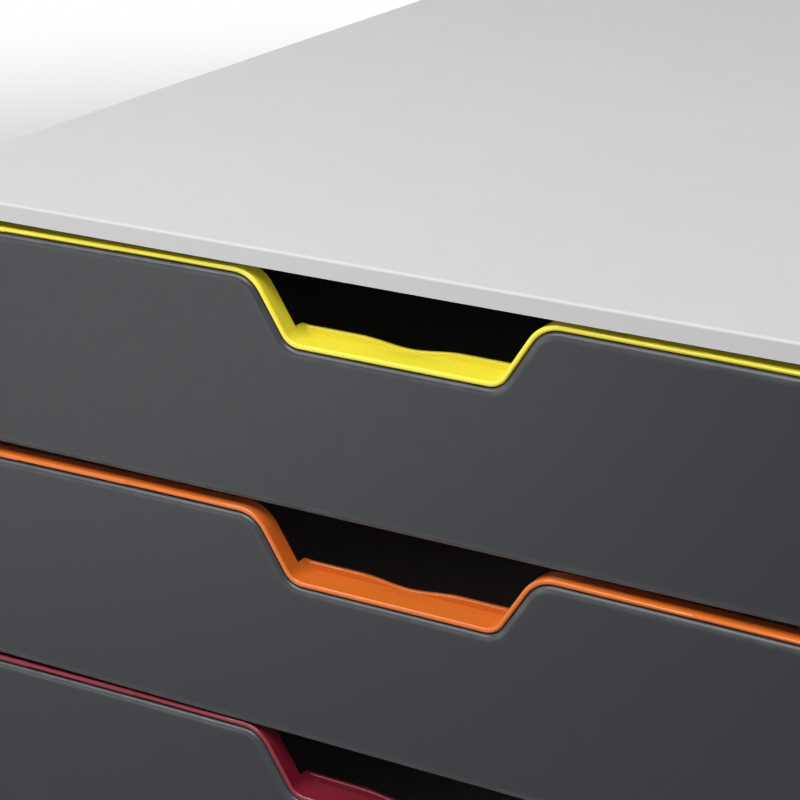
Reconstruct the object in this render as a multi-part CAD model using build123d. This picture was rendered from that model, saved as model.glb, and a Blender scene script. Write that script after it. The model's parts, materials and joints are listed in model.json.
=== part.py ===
from build123d import *
import os
from math import cos, radians, tan

# Desktop drawer tower for paper, in millimetres.
# X runs across the fronts, +Y runs to the back and +Z up. The origin is on the table, under the
# middle of the housing. "Left" is the side on the left of somebody who faces the fronts.

# ---- Housing -------------------------------------------------------------------------------
housing_width = 280.0
housing_depth = 356.0
foot_height = 4.0
plinth_height = 7.6          # front edge under the lowest drawer
fascia_height = 4.4          # front edge above the top drawer, and front edge of each side
wall = 2.6
rim_reach = 8.0              # how far the thick front edge runs back
top_corner_radius = 5.0
edge_round = 0.8             # softened front edges of the housing

# ---- Drawer fronts -------------------------------------------------------------------------
drawer_count = 5
pitch = 55.0                 # from one front to the next
front_gap = 2.5              # between one front and the next, and above the top one
plinth_gap = 1.0
side_gap = 1.0               # between a front and the side of the housing
front_recess = 0.4           # fronts lie this far behind the front edge of the housing
front_thickness = 2.4
front_round = 1.4            # rounding of the front's visible edges
front_corner_radius = 2.0
crown_radius = 7600.0        # the upper edge of a front is a very flat arc
second_drawer_drop = 1.0     # the second drawer hangs a little low, as photographed

# ---- Finger notch in the upper edge of each front ----------------------------------------
notch_floor_half = 26.0
notch_depth = 15.0
notch_slant = 32.6           # degrees between a side of the notch and the vertical
notch_shoulder_radius = 7.5
notch_floor_radius = 5.5

# ---- Coloured trim -------------------------------------------------------------------------
trim_gap = 0.15              # between the front's edge and the trim above it
trim_thickness = 1.25
trim_setback = 0.4           # the trim's edge lies behind the face of the front
trim_round = 0.5
trim_rail_depth = 4.6        # how far the rail runs back from its front edge
trim_plate_thickness = 1.2
trim_side_inset = 1.0        # the trim plate is hidden behind the front
ledge_depth = 7.7            # how far the finger ledge runs back from the trim's front edge
lip_thickness = 1.2
lip_height = 1.6             # upstand at the back of the ledge
lip_dip_height = 0.5         # the upstand dips to this height in the middle
lip_dip_half = 13.0
lip_round = 0.35

# ---- Trays -----------------------------------------------------------------------------------
tray_side_room = 15.4        # from the housing's side wall to the tray, for flange and runner
tray_rear_room = 8.4         # from the tray to the back panel
tray_wall = 2.0
tray_below_edge = 3.0        # rim of the tray below the upper edge of its front
tray_lift = 0.6              # underside of the tray above the lower edge of its front
tray_corner_radius = 6.0
tray_trim_gap = 0.15
flange_mouth_gap = 3.2       # from the flange's edge to the housing's mouth
flange_thickness = 2.0
floor_bead_width = 6.0       # shallow frame of the tray's floor
floor_bead_height = 0.6

# ---- Runners -----------------------------------------------------------------------------------
runner_plate = 1.8
runner_rib = 2.0
runner_keeper = 1.0          # thin rib that holds the flange down
runner_tray_gap = 2.4        # from the ribs to the tray's side
runner_clearance = 0.3       # above and below the tray's flange
runner_start_gap = 0.3       # the drawer closes against the front ends of the ribs
runner_end_gap = 7.0         # from the runner to the screw bosses behind it
runner_skirt = 11.0          # from the runner to the screw bosses below it
stop_height = 1.4
stop_length = 3.0
stop_clearance = 0.3
drawer_travel = 265.0

# ---- Base, back and fasteners ------------------------------------------------------------------
fit_gap = 0.2                # base plate and back panel in the housing
base_thickness = 5.0
base_skin = 2.0
base_pocket_columns = 4
base_pocket_rows = 5
base_rib = 3.0
base_margin = 22.0           # solid border of the base plate, where feet and screws sit
back_thickness = 2.5
back_inset = 2.5             # back panel behind the rear edge of the housing
back_field_inset = 24.0
back_field_depth = 0.8
foot_radius = 8.0
foot_recess = 1.0
foot_inset_x = 16.0
foot_inset_y = 22.0
foot_round = 1.0
foot_clearance = 0.1
boss_radius = 3.6
boss_height = 11.0
boss_web = 2.6
boss_inset = 7.4             # from the inner face of the side wall to the boss's centre
base_screw_inset = 34.0      # from the front and rear edges of the housing
back_screw_inset = 36.0      # from the top and the underside of the housing
screw_shank_radius = 1.5
screw_shank_length = 10.0
screw_head_radius = 3.0
screw_head_height = 1.8
screw_head_round = 0.6
screw_clearance = 0.05       # between the shank and its boss
screw_hole_clearance = 0.3   # around the shank and head in the plates
screw_tip_gap = 0.9          # from the screw's tip to the end of its hole
cross_width = 0.8
cross_length = 3.6
cross_depth = 1.0

# ---- Snap hooks on the back of each front ------------------------------------------------------
hook_side_inset = 20.0       # from the tray's side to the outer hook
hook_spacing = 40.0          # from the outer hook to the inner one
hook_drop = 30.0             # below the upper edge of the front
hook_width = 8.0
hook_thickness = 1.6
hook_reach = 1.6             # how far the hook stands out behind the tray's front wall
hook_barb = 0.9
hook_clearance = 0.3         # around a hook in its slot
hook_catch_gap = 0.3         # from the barb to the tray's front wall

# ---- Modelling helpers -----------------------------------------------------------------------
cut_past = 1.0               # cuts run this far past the surface that they open
same_place = 0.001           # points closer than this count as one place
on_base = (Align.CENTER, Align.CENTER, Align.MIN)

# ---- Places worked out from the sizes above ------------------------------------------------
front_height = pitch - front_gap
opening_bottom = foot_height + plinth_height
opening_top = opening_bottom + plinth_gap + drawer_count * pitch
housing_height = opening_top + fascia_height
base_top = foot_height + base_thickness

half_width = housing_width / 2
half_depth = housing_depth / 2
wall_inner = half_width - wall
rim_inner = half_width - fascia_height
top_inner = housing_height - wall
front_half = rim_inner - side_gap

front_face_y = -half_depth + front_recess
front_back_y = front_face_y + front_thickness
trim_face_y = front_face_y + trim_setback
trim_plate_back_y = front_back_y + trim_plate_thickness
trim_rail_back_y = trim_face_y + trim_rail_depth
ledge_back_y = trim_face_y + ledge_depth + lip_thickness
tray_wall_back_y = trim_plate_back_y + tray_wall
trim_half = front_half - trim_side_inset

back_outer_y = half_depth - back_inset
back_inner_y = back_outer_y - back_thickness
rim_back_y = -half_depth + rim_reach
runner_front_y = max(tray_wall_back_y, trim_rail_back_y) + runner_start_gap
runner_back_y = back_inner_y - boss_height - runner_end_gap
runner_low = base_top + boss_height + runner_skirt
runner_high = top_inner - top_corner_radius
runner_inner = wall_inner - runner_plate
boss_x = wall_inner - boss_inset

tray_inner_width = 2 * (wall_inner - tray_side_room - tray_wall)
tray_inner_depth = back_inner_y - tray_rear_room - tray_wall - tray_wall_back_y
tray_back_y = tray_wall_back_y + tray_inner_depth + tray_wall
tray_inner_half = tray_inner_width / 2
tray_outer_half = tray_inner_half + tray_wall
flange_half = min(rim_inner, runner_inner) - flange_mouth_gap
flange_reach = flange_half - tray_outer_half
rib_tip = tray_outer_half + runner_tray_gap
hook_outer_x = tray_inner_half - hook_side_inset
hook_inner_x = hook_outer_x - hook_spacing
hook_places = [-hook_outer_x, -hook_inner_x, hook_inner_x, hook_outer_x]


def front_top(drawer):
    """Height of the highest point of a front; drawer 1 is the top one."""
    drop = second_drawer_drop if drawer == 2 else 0.0
    return opening_top - front_gap - (drawer - 1) * pitch - drop


def block(x0, x1, y0, y1, z0, z1):
    """A box between two corners."""
    return Pos(x0, y0, z0) * Box(x1 - x0, y1 - y0, z1 - z0, align=(Align.MIN, Align.MIN, Align.MIN))


def span(side, near, far):
    """The X range between two distances from the middle; side is -1 for left and 1 for right."""
    return sorted((side * near, side * far))


def slab(face, y_front, y_back):
    """Thickens a face drawn in X and Z, from y_front to y_back."""
    return extrude(Plane.XZ.offset(-y_back) * face, amount=y_back - y_front)


def crown_sag(x):
    """How far the crowned upper edge lies below its highest point at x."""
    return x * x / (2 * crown_radius)


def notch_half(z, grow):
    """Half width of the notch at height z, with its outline moved inwards by grow."""
    slant = radians(notch_slant)
    return notch_floor_half + (z + notch_depth) * tan(slant) - grow / cos(slant)


def front_outline(half, low, grow):
    """Outline of a front in X and Z, its highest point at z = 0.

    The upper edge with the notch is moved outwards by grow; half and low give the other edges."""
    corner_z = grow - crown_sag(half)
    crown = ThreePointArc((-half, corner_z), (0, grow), (half, corner_z))
    sides = Polyline((half, corner_z), (half, low), (-half, low), (-half, corner_z))
    outline = make_face(crown + sides)
    floor_z = grow - notch_depth
    above = grow + front_gap
    cut = make_face(
        Polyline(
            (-notch_half(floor_z, grow), floor_z),
            (notch_half(floor_z, grow), floor_z),
            (notch_half(above, grow), above),
            (-notch_half(above, grow), above),
            close=True,
        )
    )
    outline = outline - cut
    inner = [v for v in outline.vertices() if abs(v.X) < half - front_corner_radius]
    shoulders = [v for v in inner if v.Y > grow - notch_depth / 2]
    outline = fillet(shoulders, radius=notch_shoulder_radius + grow)
    inner = [v for v in outline.vertices() if abs(v.X) < half - front_corner_radius]
    corners = [v for v in inner if abs(v.Y - floor_z) < same_place]
    return fillet(corners, radius=notch_floor_radius - grow)


def edges_at(shape, y):
    """The edges of a shape that lie in one upright plane."""
    return [e for e in shape.edges() if all(abs(v.Y - y) < same_place for v in e.vertices())]


# ---- Drawer front ---------------------------------------------------------------------------
def drawer_front():
    """Front plate with rounded edges and four snap hooks behind."""
    outline = front_outline(front_half, -front_height, 0)
    corners = [v for v in outline.vertices() if abs(v.X) > front_half - same_place]
    outline = fillet(corners, radius=front_corner_radius)
    plate = slab(outline, front_face_y, front_back_y)
    plate = fillet(edges_at(plate, front_face_y), radius=front_round)
    barb_y = tray_wall_back_y + hook_catch_gap
    for x in hook_places:
        low_x = x - hook_width / 2
        high_x = x + hook_width / 2
        z0 = -hook_drop
        z1 = z0 + hook_thickness
        plate += block(low_x, high_x, front_back_y, barb_y + hook_reach, z0, z1)
        plate += block(low_x, high_x, barb_y, barb_y + hook_reach, z1, z1 + hook_barb)
    return plate


# ---- Coloured trim --------------------------------------------------------------------------
def hook_slots(y_front, y_back):
    """The openings that the snap hooks pass through."""
    slots = []
    for x in hook_places:
        slots.append(
            block(
                x - hook_width / 2 - hook_clearance,
                x + hook_width / 2 + hook_clearance,
                y_front,
                y_back,
                -hook_drop - hook_clearance,
                -hook_drop + hook_thickness + hook_barb + hook_clearance,
            )
        )
    return slots


def lip_profile(ledge_z):
    """Area under the wavy upper edge of the lip, in X and Z."""
    reach = notch_floor_half + notch_depth
    crest = ledge_z + lip_height
    dip = ledge_z + lip_dip_height
    wave = Spline(
        [(-lip_dip_half, crest), (0, dip), (lip_dip_half, crest)],
        tangents=[(1, 0), (1, 0), (1, 0)],
    )
    outside = Polyline(
        (lip_dip_half, crest),
        (reach, crest),
        (reach, ledge_z - trim_thickness / 2),
        (-reach, ledge_z - trim_thickness / 2),
        (-reach, crest),
        (-lip_dip_half, crest),
    )
    return make_face(wave + outside)


def drawer_trim():
    """Moulding along the upper edge of a front: rail, notch walls, finger ledge with lip, plate."""
    low = -front_height + trim_side_inset
    under = front_outline(trim_half, low, trim_gap)
    over = front_outline(trim_half, low, trim_gap + trim_thickness)
    band = over - under
    rail = slab(band, trim_face_y, trim_rail_back_y)
    rail = fillet(edges_at(rail, trim_face_y), radius=trim_round)

    ledge_z = trim_gap + trim_thickness - notch_depth
    lip_front_y = ledge_back_y - lip_thickness
    cradle_top = ledge_z + lip_height
    cradle_area = Pos(0, cradle_top) * Rectangle(
        2 * trim_half, lip_height + trim_thickness + cut_past, align=(Align.CENTER, Align.MAX)
    )
    cradle = slab(band & cradle_area, trim_rail_back_y, ledge_back_y)
    inside = lip_profile(ledge_z) - front_outline(trim_half, low, trim_gap + trim_thickness / 2)
    lip = slab(inside, lip_front_y, ledge_back_y)
    wavy_edges = [e for e in lip.edges() if e.geom_type == GeomType.BSPLINE]
    lip = fillet(wavy_edges, radius=lip_round)

    backing = front_outline(trim_half, low, trim_gap + trim_thickness / 2)
    plate = slab(backing, front_back_y, trim_plate_back_y)
    trim = rail + cradle + lip + plate
    for slot in hook_slots(front_back_y - cut_past, trim_plate_back_y + cut_past):
        trim -= slot
    return trim


# ---- Tray -------------------------------------------------------------------------------------
def pan(half, y_front, y_back, radius):
    """Plan of a pan that is square in front and rounded at the back."""
    plan = make_face(
        Polyline((-half, y_front), (-half, y_back), (half, y_back), (half, y_front), close=True)
    )
    corners = [v for v in plan.vertices() if v.Y > y_back - same_place]
    return fillet(corners, radius=radius)


def stop_ear_y():
    """Front of the ear on the tray that meets the runner's nib at full travel."""
    return runner_front_y + stop_length + drawer_travel + stop_clearance


def drawer_tray():
    """Open tray with side flanges, travel ears and a front wall that carries the front."""
    floor_z = -front_height + tray_lift
    rim_z = -tray_below_edge
    inner_radius = tray_corner_radius - tray_wall
    outer = Pos(0, 0, floor_z) * extrude(
        pan(tray_outer_half, trim_plate_back_y, tray_back_y, tray_corner_radius), rim_z - floor_z
    )
    inner_plan = pan(
        tray_inner_half, trim_plate_back_y - cut_past, tray_back_y - tray_wall, inner_radius
    )
    tray = outer - Pos(0, 0, floor_z + tray_wall) * extrude(inner_plan, front_height)
    half_wall = tray_wall / 2
    bead_outer = pan(
        tray_outer_half - half_wall,
        tray_wall_back_y - half_wall,
        tray_back_y - half_wall,
        tray_corner_radius - half_wall,
    )
    bead_inner = pan(
        tray_inner_half - floor_bead_width,
        tray_wall_back_y + floor_bead_width,
        tray_back_y - tray_wall - floor_bead_width,
        inner_radius,
    )
    bead = extrude(bead_outer - bead_inner, half_wall + floor_bead_height)
    tray += Pos(0, 0, floor_z + half_wall) * bead
    flange_back_y = tray_back_y - tray_corner_radius
    ear_y = stop_ear_y()
    for side in (-1, 1):
        x0, x1 = span(side, tray_outer_half - half_wall, flange_half)
        flange_front_y = tray_wall_back_y - half_wall
        tray += block(x0, x1, flange_front_y, flange_back_y, rim_z - flange_thickness, rim_z)
        x0, x1 = span(side, flange_half - flange_reach / 2, flange_half)
        tray += block(x0, x1, ear_y, ear_y + stop_length, rim_z, rim_z + stop_height)
    wall_outline = front_outline(flange_half, floor_z, trim_gap - tray_trim_gap)
    tray += slab(wall_outline, trim_plate_back_y, tray_wall_back_y)
    for slot in hook_slots(trim_plate_back_y - cut_past, tray_wall_back_y + cut_past):
        tray -= slot
    return tray


# ---- Housing ------------------------------------------------------------------------------------
def arch(outer_half, top, radius):
    """Area of an upright arch in X and Z with rounded upper corners."""
    area = make_face(
        Polyline(
            (-outer_half, foot_height), (-outer_half, top), (outer_half, top),
            (outer_half, foot_height), close=True,
        )
    )
    corners = [v for v in area.vertices() if v.Y > top - same_place]
    return fillet(corners, radius=radius)


def boss(place, hole_depth):
    """A screw boss along the place's +Z with a web along its +X into the side wall, and its hole."""
    post = Cylinder(boss_radius, boss_height, align=on_base)
    web = block(0, boss_inset + wall / 2, -boss_web / 2, boss_web / 2, 0, boss_height)
    hole = Cylinder(screw_shank_radius + screw_clearance, hole_depth, align=on_base)
    return place * (post + web), place * hole


def facing(x):
    """Turn about Z that points +X at the nearer side wall."""
    return Rot(0, 0, 0) if x > 0 else Rot(0, 0, 180)


def base_screw_places():
    reach = half_depth - base_screw_inset
    return [(side * boss_x, y) for side in (-1, 1) for y in (-reach, reach)]


def back_screw_places():
    heights = (foot_height + back_screw_inset, housing_height - back_screw_inset)
    return [(side * boss_x, z) for side in (-1, 1) for z in heights]


def housing_shell():
    """Cover of the housing: top and both sides, thicker along the front edge, with screw bosses."""
    outer = arch(half_width, housing_height, top_corner_radius)
    inner = arch(wall_inner, top_inner, top_corner_radius - wall)
    mouth = arch(rim_inner, opening_top, edge_round)
    shell = slab(outer, -half_depth, half_depth)
    shell = fillet(edges_at(shell, -half_depth), radius=edge_round)
    shell -= slab(inner, rim_back_y, half_depth + cut_past)
    shell -= slab(mouth, -half_depth - cut_past, rim_back_y + cut_past)
    screw_reach = screw_shank_length + screw_tip_gap
    holes = []
    for x, y in base_screw_places():
        depth = screw_reach + screw_head_height - base_thickness
        post, hole = boss(Pos(x, y, base_top) * facing(x), depth)
        shell += post
        holes.append(hole)
    for x, z in back_screw_places():
        depth = screw_reach - back_thickness
        post, hole = boss(Pos(x, back_inner_y, z) * Rot(90, 0, 0) * facing(x), depth)
        shell += post
        holes.append(hole)
    for hole in holes:
        shell -= hole
    return shell


def screw_hole(place, radius, length):
    """Hole with room for a screw that points along the place's +Z."""
    return place * Cylinder(radius + screw_hole_clearance, length, align=on_base)


def base_plate():
    """Floor of the housing with the front plinth, ribbed pockets below, and recesses for feet."""
    half = wall_inner - fit_gap
    plate = block(-half, half, rim_back_y, back_inner_y - fit_gap, foot_height, base_top)
    mouth_half = rim_inner - fit_gap
    plinth = block(-mouth_half, mouth_half, -half_depth, rim_back_y, foot_height, opening_bottom)
    plinth = fillet(edges_at(plinth, -half_depth), radius=edge_round)
    plate += plinth
    field_x = half - base_margin
    field_front = rim_back_y + base_margin
    field_back = back_inner_y - base_margin
    cell_x = 2 * field_x / base_pocket_columns
    cell_y = (field_back - field_front) / base_pocket_rows
    for column in range(base_pocket_columns):
        for row in range(base_pocket_rows):
            x0 = -field_x + column * cell_x + base_rib / 2
            y0 = field_front + row * cell_y + base_rib / 2
            plate -= block(
                x0, x0 + cell_x - base_rib, y0, y0 + cell_y - base_rib,
                foot_height - cut_past, base_top - base_skin,
            )
    for x, y in foot_places():
        recess = Cylinder(foot_radius + foot_clearance, cut_past + foot_recess, align=on_base)
        plate -= Pos(x, y, foot_height - cut_past) * recess
    for x, y in base_screw_places():
        place = Pos(x, y, foot_height - cut_past)
        plate -= screw_hole(place, screw_shank_radius, base_thickness + 2 * cut_past)
        plate -= screw_hole(place, screw_head_radius, cut_past + screw_head_height)
    return plate


def back_panel():
    """Plate that closes the back, with a raised frame and screw holes."""
    half = wall_inner - fit_gap
    low = base_top + fit_gap
    high = top_inner - fit_gap
    panel = block(-half, half, back_inner_y, back_outer_y, foot_height, high)
    panel -= block(
        -half + back_field_inset, half - back_field_inset,
        back_outer_y - back_field_depth, back_outer_y + cut_past,
        low + back_field_inset, high - back_field_inset,
    )
    upright = panel.edges().filter_by(Axis.Y)
    upper = [e for e in upright if e.center().Z > high - same_place]
    corners = [e for e in upper if abs(e.center().X) > half - same_place]
    panel = fillet(corners, radius=top_corner_radius - wall)
    for x, z in back_screw_places():
        place = Pos(x, back_outer_y + cut_past, z) * Rot(90, 0, 0)
        panel -= screw_hole(place, screw_shank_radius, back_thickness + 2 * cut_past)
    return panel


def runner(side):
    """Side guide with one channel for each tray flange; side is -1 for left and 1 for right."""
    x0, x1 = span(side, runner_inner, wall_inner)
    guide = block(x0, x1, rim_back_y + fit_gap, runner_back_y, runner_low, runner_high)
    x0, x1 = span(side, rib_tip, runner_inner + runner_plate / 2)
    for drawer in range(1, drawer_count + 1):
        flange_top = front_top(drawer) - tray_below_edge
        shelf_top = flange_top - flange_thickness - runner_clearance
        keeper_low = flange_top + stop_height + runner_clearance
        keeper_top = keeper_low + runner_keeper
        nib_back_y = runner_front_y + stop_length
        guide += block(x0, x1, runner_front_y, runner_back_y, shelf_top - runner_rib, shelf_top)
        guide += block(x0, x1, runner_front_y, runner_back_y, keeper_low, keeper_top)
        guide += block(
            x0, x1, runner_front_y, nib_back_y, flange_top + runner_clearance, keeper_top
        )
    x0, x1 = span(side, rim_inner - fit_gap, wall_inner)
    return guide - block(x0, x1, -half_depth, rim_back_y + fit_gap, runner_low, runner_high)


def foot_places():
    """Centres of the feet: front left, front right, rear left, rear right."""
    x = half_width - foot_inset_x
    y = half_depth - foot_inset_y
    return [(-x, -y), (x, -y), (-x, y), (x, y)]


def foot(x, y):
    """Rubber disc, set into the base plate."""
    disc = Cylinder(foot_radius, foot_height + foot_recess, align=on_base)
    rim = [e for e in disc.edges() if abs(e.center().Z) < same_place]
    return Pos(x, y, 0) * fillet(rim, radius=foot_round)


def screw():
    """Pan head screw: head below z = 0, shank above, cross recess in the head."""
    shank = Cylinder(screw_shank_radius, screw_shank_length, align=on_base)
    head = Pos(0, 0, -screw_head_height) * Cylinder(
        screw_head_radius, screw_head_height, align=on_base
    )
    rim = [e for e in head.edges() if abs(e.center().Z + screw_head_height) < same_place]
    head = fillet(rim, radius=screw_head_round)
    body = shank + head
    cross_z = -screw_head_height + cross_depth / 2
    body -= Pos(0, 0, cross_z) * Box(cross_length, cross_width, cross_depth)
    body -= Pos(0, 0, cross_z) * Box(cross_width, cross_length, cross_depth)
    return body


def housing_screws():
    """All eight screws, four up through the base plate and four in through the back panel."""
    screws = []
    for x, y in base_screw_places():
        screws.append(Pos(x, y, foot_height + screw_head_height) * screw())
    for x, z in back_screw_places():
        screws.append(Pos(x, back_outer_y, z) * Rot(90, 0, 0) * screw())
    return Compound(children=screws)


def write(node, shape):
    export_step(shape, os.path.join("parts", node + ".step"))


os.makedirs("parts", exist_ok=True)
write("housing_shell", housing_shell())
write("base_plate", base_plate())
write("back_panel", back_panel())
write("runner_left", runner(-1))
write("runner_right", runner(1))
write("housing_screws", housing_screws())
foot_names = ["foot_front_left", "foot_front_right", "foot_rear_left", "foot_rear_right"]
for foot_name, (foot_x, foot_y) in zip(foot_names, foot_places()):
    write(foot_name, foot(foot_x, foot_y))

tray_shape = drawer_tray()
trim_shape = drawer_trim()
front_shape = drawer_front()
for number in range(1, drawer_count + 1):
    lift = Pos(0, 0, front_top(number))
    write(f"drawer_{number}_tray", lift * tray_shape)
    write(f"drawer_{number}_trim", lift * trim_shape)
    write(f"drawer_{number}_front", lift * front_shape)
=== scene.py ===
# %% [markdown]
# # A desktop drawer tower for paper
# The real object is a light grey plastic housing with five drawers. Each drawer has a dark grey
# front, and a coloured moulding runs along the front's upper edge and widens into a finger ledge
# in the notch. Everything is in metres, with +Z up and the fronts facing -Y. The solids come
# ready made. They could be modelled again in Blender, but their shapes are right, so this lesson
# is about looking at them: a camera, a small studio, and finishes that are built from nodes.

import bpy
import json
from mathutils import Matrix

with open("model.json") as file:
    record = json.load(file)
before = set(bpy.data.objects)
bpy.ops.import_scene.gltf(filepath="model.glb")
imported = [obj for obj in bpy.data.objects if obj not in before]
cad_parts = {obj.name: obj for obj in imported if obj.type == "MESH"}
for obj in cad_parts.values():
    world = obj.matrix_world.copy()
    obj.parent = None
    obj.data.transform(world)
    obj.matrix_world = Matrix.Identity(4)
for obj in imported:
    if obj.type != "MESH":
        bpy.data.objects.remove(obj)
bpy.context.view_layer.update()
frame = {"nodes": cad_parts, "record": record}

# %% [markdown]
# ## Camera
# The tower is seen from close by, from the upper right of the fronts, so that it runs out of the
# frame on both sides. A Track To constraint could aim the camera, but it leaves no room for the
# hair of roll that the view has, so three turns are multiplied instead. Read from the right they
# roll the camera, tilt it down from the horizon and swing it to the left. The long lens keeps the
# edges nearly parallel.

# %% Set up the camera
import bpy
import json
from math import radians
from mathutils import Matrix, Vector

camera_place = (0.2505, -0.6055, 0.4461)
swing_left = 30.098      # degrees
tilt_down = 20.243
roll_over = 0.156

camera_data = bpy.data.cameras.new("close_camera")
camera_data.lens = 112.5
camera_data.sensor_width = 36.0
camera_data.clip_start = 0.01
camera = bpy.data.objects.new("close_camera", camera_data)
bpy.context.scene.collection.objects.link(camera)
swing = Matrix.Rotation(radians(swing_left), 4, "Z")
tilt = Matrix.Rotation(radians(90 - tilt_down), 4, "X")
roll = Matrix.Rotation(radians(roll_over), 4, "Z")
camera.matrix_world = Matrix.Translation(camera_place) @ swing @ tilt @ roll
bpy.context.scene.camera = camera
print("camera at", [round(v, 3) for v in camera.matrix_world.translation])

# %% [markdown]
# ## Studio lamps
# Plastic is judged by its highlights, and area lamps give them soft ends, where sun or point
# lamps would draw hard dots. The main lamp hangs in front and well above, so that it reaches the
# finger ledges under the edge above them. A small lamp high on the left draws a bright line along
# every rounded edge. A weak lamp low on the left stands where its mirror image lies in the dark
# fronts, and puts a broad sheen on them that fades to the right. A large lamp behind keeps the
# back from going dark. A surface that faces the lamps shows about its own colour.

# %% Lamps
def add_lamp(name, place, aim, size, power, colour=(1.0, 1.0, 1.0)):
    """A square soft lamp at a place, turned towards a point; size in metres, power in watts."""
    lamp = bpy.data.lights.new(name, "AREA")
    lamp.size = size
    lamp.energy = power
    lamp.color = colour
    holder = bpy.data.objects.new(name, lamp)
    bpy.context.scene.collection.objects.link(holder)
    holder.visible_camera = False
    holder.location = place
    holder.rotation_euler = (Vector(aim) - Vector(place)).to_track_quat("-Z", "Y").to_euler()


warm_key = (1.0, 0.995, 0.98)
warm_left = (1.0, 0.99, 0.97)
add_lamp("key_lamp", (-0.07, -0.76, 1.33), (0, -0.15, 0.2), size=0.6, power=14, colour=warm_key)
add_lamp("rim_lamp", (-0.55, -0.64, 0.98), (0, -0.15, 0.25), size=0.25, power=3.2)
add_lamp("left_lamp", (-0.35, -0.65, 0.10), (0, -0.16, 0.24), size=0.35, power=0.7, colour=warm_left)
add_lamp("back_lamp", (0.70, 1.10, 0.45), (0, 0, 0.15), size=0.8, power=7)

# %% [markdown]
# ## World
# A studio is white all round, yet a white world lights every corner and leaves no shade under the
# tower or inside the notches. So the world is white only where the camera sees it or a surface
# mirrors it, and much weaker as a light. Three answers of the Light Path node are joined with
# Maximum, and a Map Range turns them into the strength.

# %% World
ambient_strength = 0.10
ray_names = ["Is Camera Ray", "Is Glossy Ray", "Is Transmission Ray"]


def seen_directly(nodes, links):
    """One where the camera sees the surface, itself or in a mirror or glass, and zero elsewhere."""
    path = nodes.new("ShaderNodeLightPath")
    joined = path.outputs[ray_names[0]]
    for name in ray_names[1:]:
        larger = nodes.new("ShaderNodeMath")
        larger.operation = "MAXIMUM"
        links.new(joined, larger.inputs[0])
        links.new(path.outputs[name], larger.inputs[1])
        joined = larger.outputs[0]
    return joined


world = bpy.data.worlds.new("studio_world")
world.use_nodes = True
bpy.context.scene.world = world
nodes = world.node_tree.nodes
links = world.node_tree.links
strength = nodes.new("ShaderNodeMapRange")
strength.inputs["To Min"].default_value = ambient_strength
strength.inputs["To Max"].default_value = 1.0
links.new(seen_directly(nodes, links), strength.inputs["Value"])
links.new(strength.outputs["Result"], nodes["Background"].inputs["Strength"])
nodes["Background"].inputs["Color"].default_value = (0.97, 0.98, 1.0, 1)
bpy.context.scene.view_settings.view_transform = "Standard"
print("world strength as a light:", ambient_strength)

# %% [markdown]
# ## Floor
# A curved backdrop would hide the horizon, but it stands in the way of views from behind. This
# floor is one large plane instead. Close to the tower it is a real pale surface that takes the
# shadow, and further out it fades into plain white, so that no horizon shows from any side.

# %% Floor
floor_size = 8.0         # metres
fade_start = 0.55
fade_end = 1.6


def floor_material():
    """Pale grey near the middle and plain white further out, for what the camera sees of it."""
    material = bpy.data.materials.new("studio_floor_pale")
    material.use_nodes = True
    nodes = material.node_tree.nodes
    links = material.node_tree.links
    surface = nodes["Principled BSDF"]
    surface.inputs["Base Color"].default_value = (0.6, 0.6, 0.6, 1)
    surface.inputs["Roughness"].default_value = 0.9
    place = nodes.new("ShaderNodeTexCoord")
    reach = nodes.new("ShaderNodeVectorMath")
    reach.operation = "LENGTH"
    links.new(place.outputs["Object"], reach.inputs[0])
    fade = nodes.new("ShaderNodeMapRange")
    fade.interpolation_type = "SMOOTHSTEP"
    fade.inputs["From Min"].default_value = fade_start
    fade.inputs["From Max"].default_value = fade_end
    links.new(reach.outputs["Value"], fade.inputs["Value"])
    both = nodes.new("ShaderNodeMath")
    both.operation = "MULTIPLY"
    links.new(seen_directly(nodes, links), both.inputs[0])
    links.new(fade.outputs["Result"], both.inputs[1])
    white = nodes.new("ShaderNodeEmission")
    blend = nodes.new("ShaderNodeMixShader")
    links.new(both.outputs[0], blend.inputs["Fac"])
    links.new(surface.outputs["BSDF"], blend.inputs[1])
    links.new(white.outputs["Emission"], blend.inputs[2])
    links.new(blend.outputs["Shader"], nodes["Material Output"].inputs["Surface"])
    return material


bpy.ops.mesh.primitive_plane_add(size=floor_size)
floor = bpy.context.active_object
floor.name = "studio_floor"
floor.data.materials.append(floor_material())
print("floor:", [round(v, 1) for v in floor.dimensions])

# %% [markdown]
# ## Effects that several finishes share
# Moulded plastic is never one flat colour. Its mould leaves a fine grain, its tone drifts a
# little, its edges are polished by hands and get a lighter colour as a painted highlight, its
# faces carry hairline scratches, and dust lies on those that look up. The nodes could be copied
# into each material, but then a change has to be made many times. So each effect is a node group
# with named inputs, and every finish uses it with its own numbers. The helpers below start a
# group and add the nodes that come up most.

# %% Helpers for node groups
def start_group(name, inputs, outputs):
    """A shader node group with its sockets; an input is (name, type, default)."""
    group = bpy.data.node_groups.new(name, "ShaderNodeTree")
    for socket_name, kind, default in inputs:
        socket = group.interface.new_socket(socket_name, in_out="INPUT", socket_type="NodeSocket" + kind)
        if default is not None:
            socket.default_value = default
    for socket_name, kind in outputs:
        group.interface.new_socket(socket_name, in_out="OUTPUT", socket_type="NodeSocket" + kind)
    entry = group.nodes.new("NodeGroupInput")
    leave = group.nodes.new("NodeGroupOutput")
    return group, entry.outputs, leave.inputs


def feed(tree, socket, value):
    """Set a socket to a number, or link an output to it."""
    if isinstance(value, (int, float)):
        socket.default_value = value
    else:
        tree.links.new(value, socket)


def calc(tree, operation, first, second, clamp=False):
    """A Math node; each operand is a number or an output."""
    node = tree.nodes.new("ShaderNodeMath")
    node.operation = operation
    node.use_clamp = clamp
    feed(tree, node.inputs[0], first)
    feed(tree, node.inputs[1], second)
    return node.outputs[0]


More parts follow.
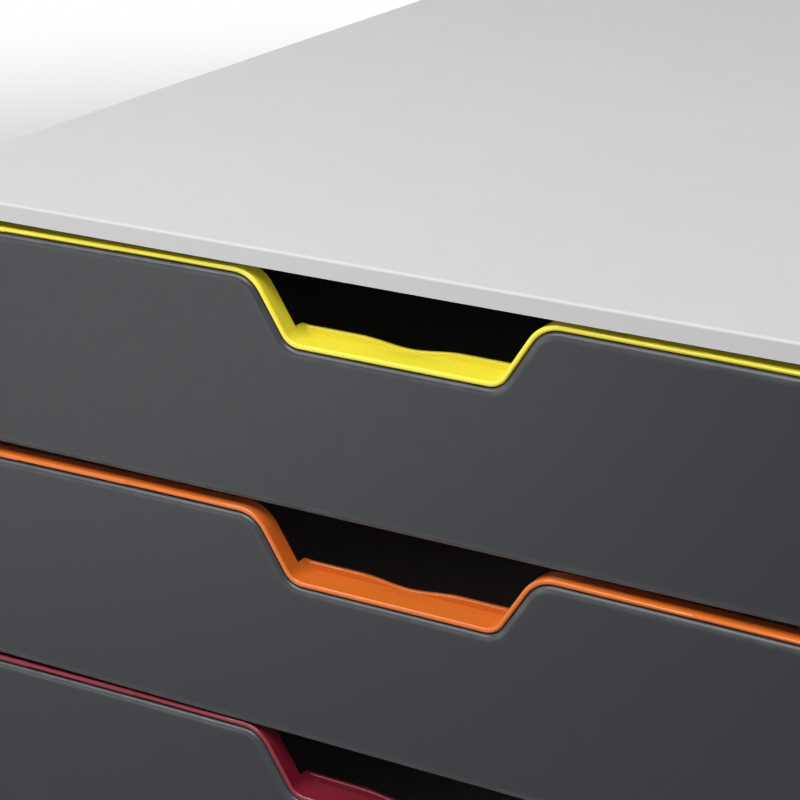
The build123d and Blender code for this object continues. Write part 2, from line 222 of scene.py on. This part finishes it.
def remap(tree, value, low, high, to_low=0.0, to_high=1.0):
    """A clamped Map Range node from low..high to to_low..to_high."""
    node = tree.nodes.new("ShaderNodeMapRange")
    tree.links.new(value, node.inputs["Value"])
    limits = {"From Min": low, "From Max": high, "To Min": to_low, "To Max": to_high}
    for name, limit in limits.items():
        feed(tree, node.inputs[name], limit)
    return node.outputs["Result"]


def noise(tree, vector, scale, detail, roughness=0.5):
    """A Noise texture's value; scale is in waves per metre."""
    node = tree.nodes.new("ShaderNodeTexNoise")
    tree.links.new(vector, node.inputs["Vector"])
    feed(tree, node.inputs["Scale"], scale)
    node.inputs["Detail"].default_value = detail
    node.inputs["Roughness"].default_value = roughness
    return node.outputs["Fac"]


print("helpers ready")

# %% [markdown]
# ### Mould grain
# A spark eroded mould leaves tiny rounded pits. An image texture of grain would need seams and
# stretch on bent faces, while a Voronoi cell pattern fills space evenly and gives round pits. A
# finer noise breaks its regularity, and a coarser one is handed out as a mottle for the
# roughness. Cells per metre set the size: 2000 is half a millimetre.

# %% Mould grain
def make_mould_grain():
    waves_per_cell = 1.7
    mottles_per_cell = 0.12
    pit_rim = 0.8            # distance from a cell's middle where its pit ends, in cells
    inputs = [("Vector", "Vector", None), ("Cells per metre", "Float", 2000.0)]
    tree, given, result = start_group("mould_grain", inputs, [("Height", "Float"), ("Mottle", "Float")])
    cells = tree.nodes.new("ShaderNodeTexVoronoi")
    cells.feature = "F1"
    tree.links.new(given["Vector"], cells.inputs["Vector"])
    tree.links.new(given["Cells per metre"], cells.inputs["Scale"])
    pits = remap(tree, cells.outputs["Distance"], 0.0, pit_rim, 0.0, 0.6)
    fine_scale = calc(tree, "MULTIPLY", given["Cells per metre"], waves_per_cell)
    fine = calc(tree, "MULTIPLY", noise(tree, given["Vector"], fine_scale, detail=1.0), 0.4)
    tree.links.new(calc(tree, "ADD", pits, fine), result["Height"])
    coarse_scale = calc(tree, "MULTIPLY", given["Cells per metre"], mottles_per_cell)
    tree.links.new(noise(tree, given["Vector"], coarse_scale, detail=2.0), result["Mottle"])
    return tree


mould_grain = make_mould_grain()
print("group:", mould_grain.name)

# %% [markdown]
# ### Tone drift
# Pigment never mixes quite evenly. A colour ramp would paint spots of another colour, so two slow
# noises only raise and lower the brightness of the given colour by a few percent: one is about a
# hand wide and the other about a fingertip.

# %% Tone drift
def make_tone_drift():
    hand_scale = 8.0         # waves per metre
    finger_scale = 65.0
    inputs = [
        ("Vector", "Vector", None),
        ("Colour", "Color", (0.5, 0.5, 0.5, 1)),
        ("Amount", "Float", 0.05)]
    tree, given, result = start_group("tone_drift", inputs, [("Colour", "Color")])
    wide = calc(tree, "MULTIPLY", noise(tree, given["Vector"], hand_scale, detail=1.0), 0.6)
    near = calc(tree, "MULTIPLY", noise(tree, given["Vector"], finger_scale, detail=3.0), 0.4)
    darkest = calc(tree, "SUBTRACT", 1.0, given["Amount"])
    lightest = calc(tree, "ADD", 1.0, given["Amount"])
    factor = remap(tree, calc(tree, "ADD", wide, near), 0.3, 0.7, darkest, lightest)
    scaled = tree.nodes.new("ShaderNodeVectorMath")
    scaled.operation = "SCALE"
    tree.links.new(given["Colour"], scaled.inputs[0])
    tree.links.new(factor, scaled.inputs["Scale"])
    tree.links.new(scaled.outputs["Vector"], result["Colour"])
    return tree


tone_drift = make_tone_drift()
print("group:", tone_drift.name)

# %% [markdown]
# ### Polished edges and painted edge highlight
# Edges lose their grain first. The finishes use this mask both to make them smoother and to paint
# them a lighter colour, a painted highlight where the rounded edges would catch the lamps.
# Pointiness reads the mesh's own points and finds little on large flat faces, so the Bevel node
# is used: it gives the direction that a rounder edge would have, and where that differs from the
# real one there is an edge. A noise keeps the mark uneven.

# %% Polished edges and painted edge highlight
def make_edge_polish_and_highlight():
    flat_cosine = 0.995      # of the angle between the two directions
    edge_cosine = 0.86
    patch_scale = 240.0
    inputs = [("Vector", "Vector", None), ("Radius", "Float", 0.001), ("Amount", "Float", 1.0)]
    tree, given, result = start_group("edge_polish_and_highlight", inputs, [("Mask", "Float")])
    rounder = tree.nodes.new("ShaderNodeBevel")
    rounder.samples = 4
    tree.links.new(given["Radius"], rounder.inputs["Radius"])
    surface = tree.nodes.new("ShaderNodeNewGeometry")
    facing = tree.nodes.new("ShaderNodeVectorMath")
    facing.operation = "DOT_PRODUCT"
    tree.links.new(rounder.outputs["Normal"], facing.inputs[0])
    tree.links.new(surface.outputs["Normal"], facing.inputs[1])
    edge = remap(tree, facing.outputs["Value"], flat_cosine, edge_cosine)
    patches = noise(tree, given["Vector"], patch_scale, detail=2.0)
    mask = calc(tree, "MULTIPLY", edge, remap(tree, patches, 0.35, 0.65, 0.45, 1.0))
    tree.links.new(calc(tree, "MULTIPLY", mask, given["Amount"], clamp=True), result["Mask"])
    return tree


edge_polish_and_highlight = make_edge_polish_and_highlight()
print("group:", edge_polish_and_highlight.name)

# %% [markdown]
# ### Hairline scratches
# Wiping a desk leaves faint lines in a few directions. They could be drawn one by one, but a
# noise that is stretched to long threads gives as many as are wanted when only its peaks are
# kept. A second one at another angle crosses it, and a slow noise leaves some places clear.

# %% Hairline scratches
def make_hairlines():
    thread_sets = [          # turn about Z in radians, and waves per metre along X, Y and Z
        (0.35, (900.0, 14.0, 900.0)),
        (-0.95, (700.0, 22.0, 700.0))]
    patch_scale = 16.0
    inputs = [("Vector", "Vector", None), ("Amount", "Float", 1.0)]
    tree, given, result = start_group("hairlines", inputs, [("Mask", "Float")])
    peaks = []
    for angle, stretch in thread_sets:
        turned = tree.nodes.new("ShaderNodeMapping")
        turned.inputs["Rotation"].default_value = (0.3, 0.2, angle)
        tree.links.new(given["Vector"], turned.inputs["Vector"])
        stretched = tree.nodes.new("ShaderNodeVectorMath")
        stretched.operation = "MULTIPLY"
        stretched.inputs[1].default_value = stretch
        tree.links.new(turned.outputs["Vector"], stretched.inputs[0])
        threads = noise(tree, stretched.outputs["Vector"], 1.0, detail=1.0)
        peaks.append(remap(tree, threads, 0.68, 0.76))
    patches = remap(tree, noise(tree, given["Vector"], patch_scale, detail=2.0), 0.45, 0.65)
    lines = calc(tree, "MULTIPLY", calc(tree, "MAXIMUM", peaks[0], peaks[1]), patches)
    tree.links.new(calc(tree, "MULTIPLY", lines, given["Amount"], clamp=True), result["Mask"])
    return tree


hairlines = make_hairlines()
print("group:", hairlines.name)

# %% [markdown]
# ### Settled dust
# Dust lies only where a face looks up. It could be strewn as particles, but at this size it is
# only a change of colour and gloss. The surface's own direction says where it lies, and two
# noises make the layer thin and speckled.

# %% Settled dust
def make_settled_dust():
    film_scale = 28.0
    speck_scale = 1500.0
    inputs = [("Vector", "Vector", None), ("Amount", "Float", 0.2)]
    tree, given, result = start_group("settled_dust", inputs, [("Mask", "Float")])
    surface = tree.nodes.new("ShaderNodeNewGeometry")
    parts = tree.nodes.new("ShaderNodeSeparateXYZ")
    tree.links.new(surface.outputs["Normal"], parts.inputs["Vector"])
    upward = remap(tree, parts.outputs["Z"], 0.55, 0.98)
    film = remap(tree, noise(tree, given["Vector"], film_scale, 3.0, 0.65), 0.35, 0.7, 0.2, 0.8)
    specks = remap(tree, noise(tree, given["Vector"], speck_scale, detail=0.0), 0.66, 0.74)
    layer = calc(tree, "MULTIPLY", upward, calc(tree, "MAXIMUM", film, specks))
    tree.links.new(calc(tree, "MULTIPLY", layer, given["Amount"], clamp=True), result["Mask"])
    return tree


settled_dust = make_settled_dust()
print("group:", settled_dust.name)

# %% [markdown]
# ## Moulded plastic
# All plastic pieces share one build-up: the colour drifts, is painted lighter along the edges as a
# painted highlight, and greys where dust lies. The roughness follows the mottle of the grain, falls
# on polished edges and rises in scratches and dust. The grain is far too fine to model, so it
# bends the light through a Bump node. The patterns could follow UV maps, but these solids have
# none, so they read Object coordinates, which lie still in the piece when it moves.

# %% Helpers for materials
def start_material(name):
    """A material with its tree, its Principled BSDF and the Object coordinates."""
    material = bpy.data.materials.new(name)
    material.use_nodes = True
    tree = material.node_tree
    place = tree.nodes.new("ShaderNodeTexCoord").outputs["Object"]
    return material, tree, tree.nodes["Principled BSDF"], place


def place_group(tree, group, vector, **values):
    """The outputs of a group that is placed in a material with its own numbers."""
    node = tree.nodes.new("ShaderNodeGroup")
    node.node_tree = group
    tree.links.new(vector, node.inputs["Vector"])
    for name, value in values.items():
        node.inputs[name.replace("_", " ")].default_value = value
    return node.outputs


def mix_colour(tree, factor, first, second):
    """A Mix node for colours; first is an output and second a colour."""
    node = tree.nodes.new("ShaderNodeMix")
    node.data_type = "RGBA"
    tree.links.new(factor, node.inputs["Factor"])
    tree.links.new(first, node.inputs["A"])
    node.inputs["B"].default_value = (*second, 1)
    return node.outputs["Result"]


def add_bump(tree, shader, height, depth):
    """Bend the light as if the surface were that many metres deep."""
    bump = tree.nodes.new("ShaderNodeBump")
    bump.inputs["Distance"].default_value = depth
    tree.links.new(height, bump.inputs["Height"])
    tree.links.new(bump.outputs["Normal"], shader.inputs["Normal"])


print("material helpers ready")

# %% The plastic build-up
dust_colour = (0.45, 0.44, 0.42)
mottle_spread = 0.025    # how far the roughness goes up and down with the mottle
edge_polish = 0.10       # and how much it changes on edges, in scratches and under dust
scratch_haze = 0.12
dust_haze = 0.25


def moulded_plastic(name, colour, edge_highlight_colour, rough, gloss=0.5, cells=2000.0, depth=0.00002,
                    drift=0.05, edge_radius=0.001, edges=0.5, scratches=0.5, dust=0.15):
    """Plastic finish: rough is the roughness and depth the height of the grain in metres."""
    material, tree, shader, place = start_material(name)
    shader.inputs["Specular IOR Level"].default_value = gloss
    grain = place_group(tree, mould_grain, place, Cells_per_metre=cells)
    toned = place_group(tree, tone_drift, place, Colour=(*colour, 1), Amount=drift)
    edge = place_group(tree, edge_polish_and_highlight, place, Radius=edge_radius, Amount=edges)["Mask"]
    lines = place_group(tree, hairlines, place, Amount=scratches)["Mask"]
    film = place_group(tree, settled_dust, place, Amount=dust)["Mask"]
    dusty = mix_colour(tree, film, toned["Colour"], dust_colour)
    # The edge colour is laid on the edge mask: a painted highlight along the rounded rims.
    tree.links.new(mix_colour(tree, edge, dusty, edge_highlight_colour), shader.inputs["Base Color"])
    base = remap(tree, grain["Mottle"], 0.3, 0.7, rough - mottle_spread, rough + mottle_spread)
    smoother = calc(tree, "SUBTRACT", base, calc(tree, "MULTIPLY", edge, edge_polish))
    rougher = calc(tree, "ADD", smoother, calc(tree, "MULTIPLY", lines, scratch_haze))
    dull = calc(tree, "ADD", rougher, calc(tree, "MULTIPLY", film, dust_haze), clamp=True)
    tree.links.new(dull, shader.inputs["Roughness"])
    add_bump(tree, shader, grain["Height"], depth)
    return material


finishes = {}
print("build-up ready")

# %% [markdown]
# ### Housing, runners and trays
# The housing is a light grey with a satin grain, the runners inside it are a darker grey, and the
# trays are pale and a little smoother, as a part is that nobody is meant to look at. One material
# with another colour for each would give them the same grain, so each has its own numbers. The
# runners and trays rub on each other, so they have the most scratches.

# %% Grey plastics
# The second colour of each is painted on its edges as a highlight.
finishes["housing_plastic"] = moulded_plastic(
    "housing_plastic", (0.548, 0.549, 0.558), (0.63, 0.63, 0.635), 0.46,
    cells=1900.0, depth=0.000016, drift=0.02, edge_radius=0.0008, edges=0.3, scratches=0.2, dust=0.06)
finishes["runner_plastic"] = moulded_plastic(
    "runner_plastic", (0.33, 0.33, 0.34), (0.40, 0.40, 0.41), 0.5,
    cells=1500.0, edges=0.4, scratches=0.8, dust=0.2)
finishes["tray_plastic"] = moulded_plastic(
    "tray_plastic", (0.66, 0.66, 0.67), (0.72, 0.72, 0.73), 0.4,
    cells=1600.0, depth=0.000012, drift=0.03, scratches=0.9)
print("finishes:", list(finishes))

# %% [markdown]
# ### Dark fronts
# The fronts are anthracite with a finer grain, and a light line runs along their rounded rims: a
# painted highlight, a much lighter grey laid on the edge mask. Dark plastic shows its sheen more
# than its colour. A lighter grey over the whole face could stand in for that sheen, but it would
# look flat, so the faces stay dark and the roughness and gloss do the work there.

# %% Anthracite
# The second colour, ten times lighter than the first, is the painted highlight on the rims.
finishes["front_plastic"] = moulded_plastic(
    "front_plastic", (0.022, 0.0245, 0.0295), (0.22, 0.227, 0.235), 0.36, gloss=0.36,
    cells=2300.0, depth=0.000011, drift=0.03, edge_radius=0.0021, edges=0.9, scratches=0.3, dust=0.04)
print("finishes:", list(finishes))

# %% [markdown]
# ### Coloured trims
# The trims are smooth and glossy with strong pigment. A clear coat could give the gloss, but
# these are moulded in one go and have none, so a low roughness makes their rounded front edge
# catch a thin bright line, and a lighter colour on their edges adds a weak painted highlight.
# Yellow, orange and red are followed by blue and green further down.

# %% Trims
# The second colour of each trim is painted on its edges as a highlight.
trim_colours = {         # the colour, and the lighter one of the edges
    "trim_yellow": ((0.92, 0.79, 0.045), (0.95, 0.84, 0.12)),
    "trim_orange": ((0.69, 0.150, 0.014), (0.82, 0.27, 0.05)),
    "trim_red": ((0.20, 0.008, 0.022), (0.30, 0.03, 0.045)),
    "trim_blue": ((0.01, 0.12, 0.40), (0.05, 0.20, 0.50)),
    "trim_green": ((0.16, 0.40, 0.02), (0.26, 0.50, 0.07)),
}
for name, (colour, edge_highlight_colour) in trim_colours.items():
    finishes[name] = moulded_plastic(
        name, colour, edge_highlight_colour, 0.22, cells=1200.0, depth=0.000004,
        drift=0.02, edge_radius=0.0004, edges=0.25, scratches=0.12, dust=0.02)
print("finishes:", list(finishes))

# %% [markdown]
# ### Rubber feet
# The feet are soft black rubber with a coarse grain and hardly any gloss. The plastic build-up
# serves here too, with a high roughness, because rubber is moulded and wears in the same way.

# %% Rubber feet
# The lighter edge colour is a painted highlight along the edges, as on the plastics.
finishes["foot_rubber"] = moulded_plastic(
    "foot_rubber", (0.016, 0.016, 0.017), (0.04, 0.04, 0.04), 0.82, gloss=0.3,
    cells=1300.0, depth=0.00005, drift=0.15, edges=0.6, scratches=0.4, dust=0.3)
print("finishes:", list(finishes))

# %% [markdown]
# ### Screws
# The screws are zinc plated steel. Paint with a metallic look would keep a white highlight, while
# a real metal tints it, so Metallic is full. The plating is cloudy from place to place, and its
# fine crystals are the mould grain at a smaller size.

# %% Screws
def plated_steel(name, colour, rough):
    """Zinc plated steel with a cloudy tone and a fine crystal grain."""
    material, tree, shader, place = start_material(name)
    shader.inputs["Metallic"].default_value = 1.0
    toned = place_group(tree, tone_drift, place, Colour=(*colour, 1), Amount=0.12)
    tree.links.new(toned["Colour"], shader.inputs["Base Color"])
    clouds = noise(tree, place, 900.0, detail=4.0, roughness=0.6)
    tree.links.new(remap(tree, clouds, 0.3, 0.7, rough - 0.1, rough + 0.12), shader.inputs["Roughness"])
    crystals = place_group(tree, mould_grain, place, Cells_per_metre=4200.0)
    add_bump(tree, shader, crystals["Height"], 0.000012)
    return material


finishes["screw_steel"] = plated_steel("screw_steel", (0.62, 0.63, 0.65), 0.32)
print("finishes:", list(finishes))

# %% [markdown]
# ## Dress the pieces
# The record says which finish each solid takes. A list of names could say it again here, but the
# two would drift apart, so the record is read. Each piece only gets its material.

# %% Assign the finishes
slot_of = {part["node"]: part["material_slot"] for part in frame["record"]["subparts"]}
for node, piece in frame["nodes"].items():
    piece.data.materials.clear()
    piece.data.materials.append(finishes[slot_of[node]])
print("dressed:", len(frame["nodes"]))
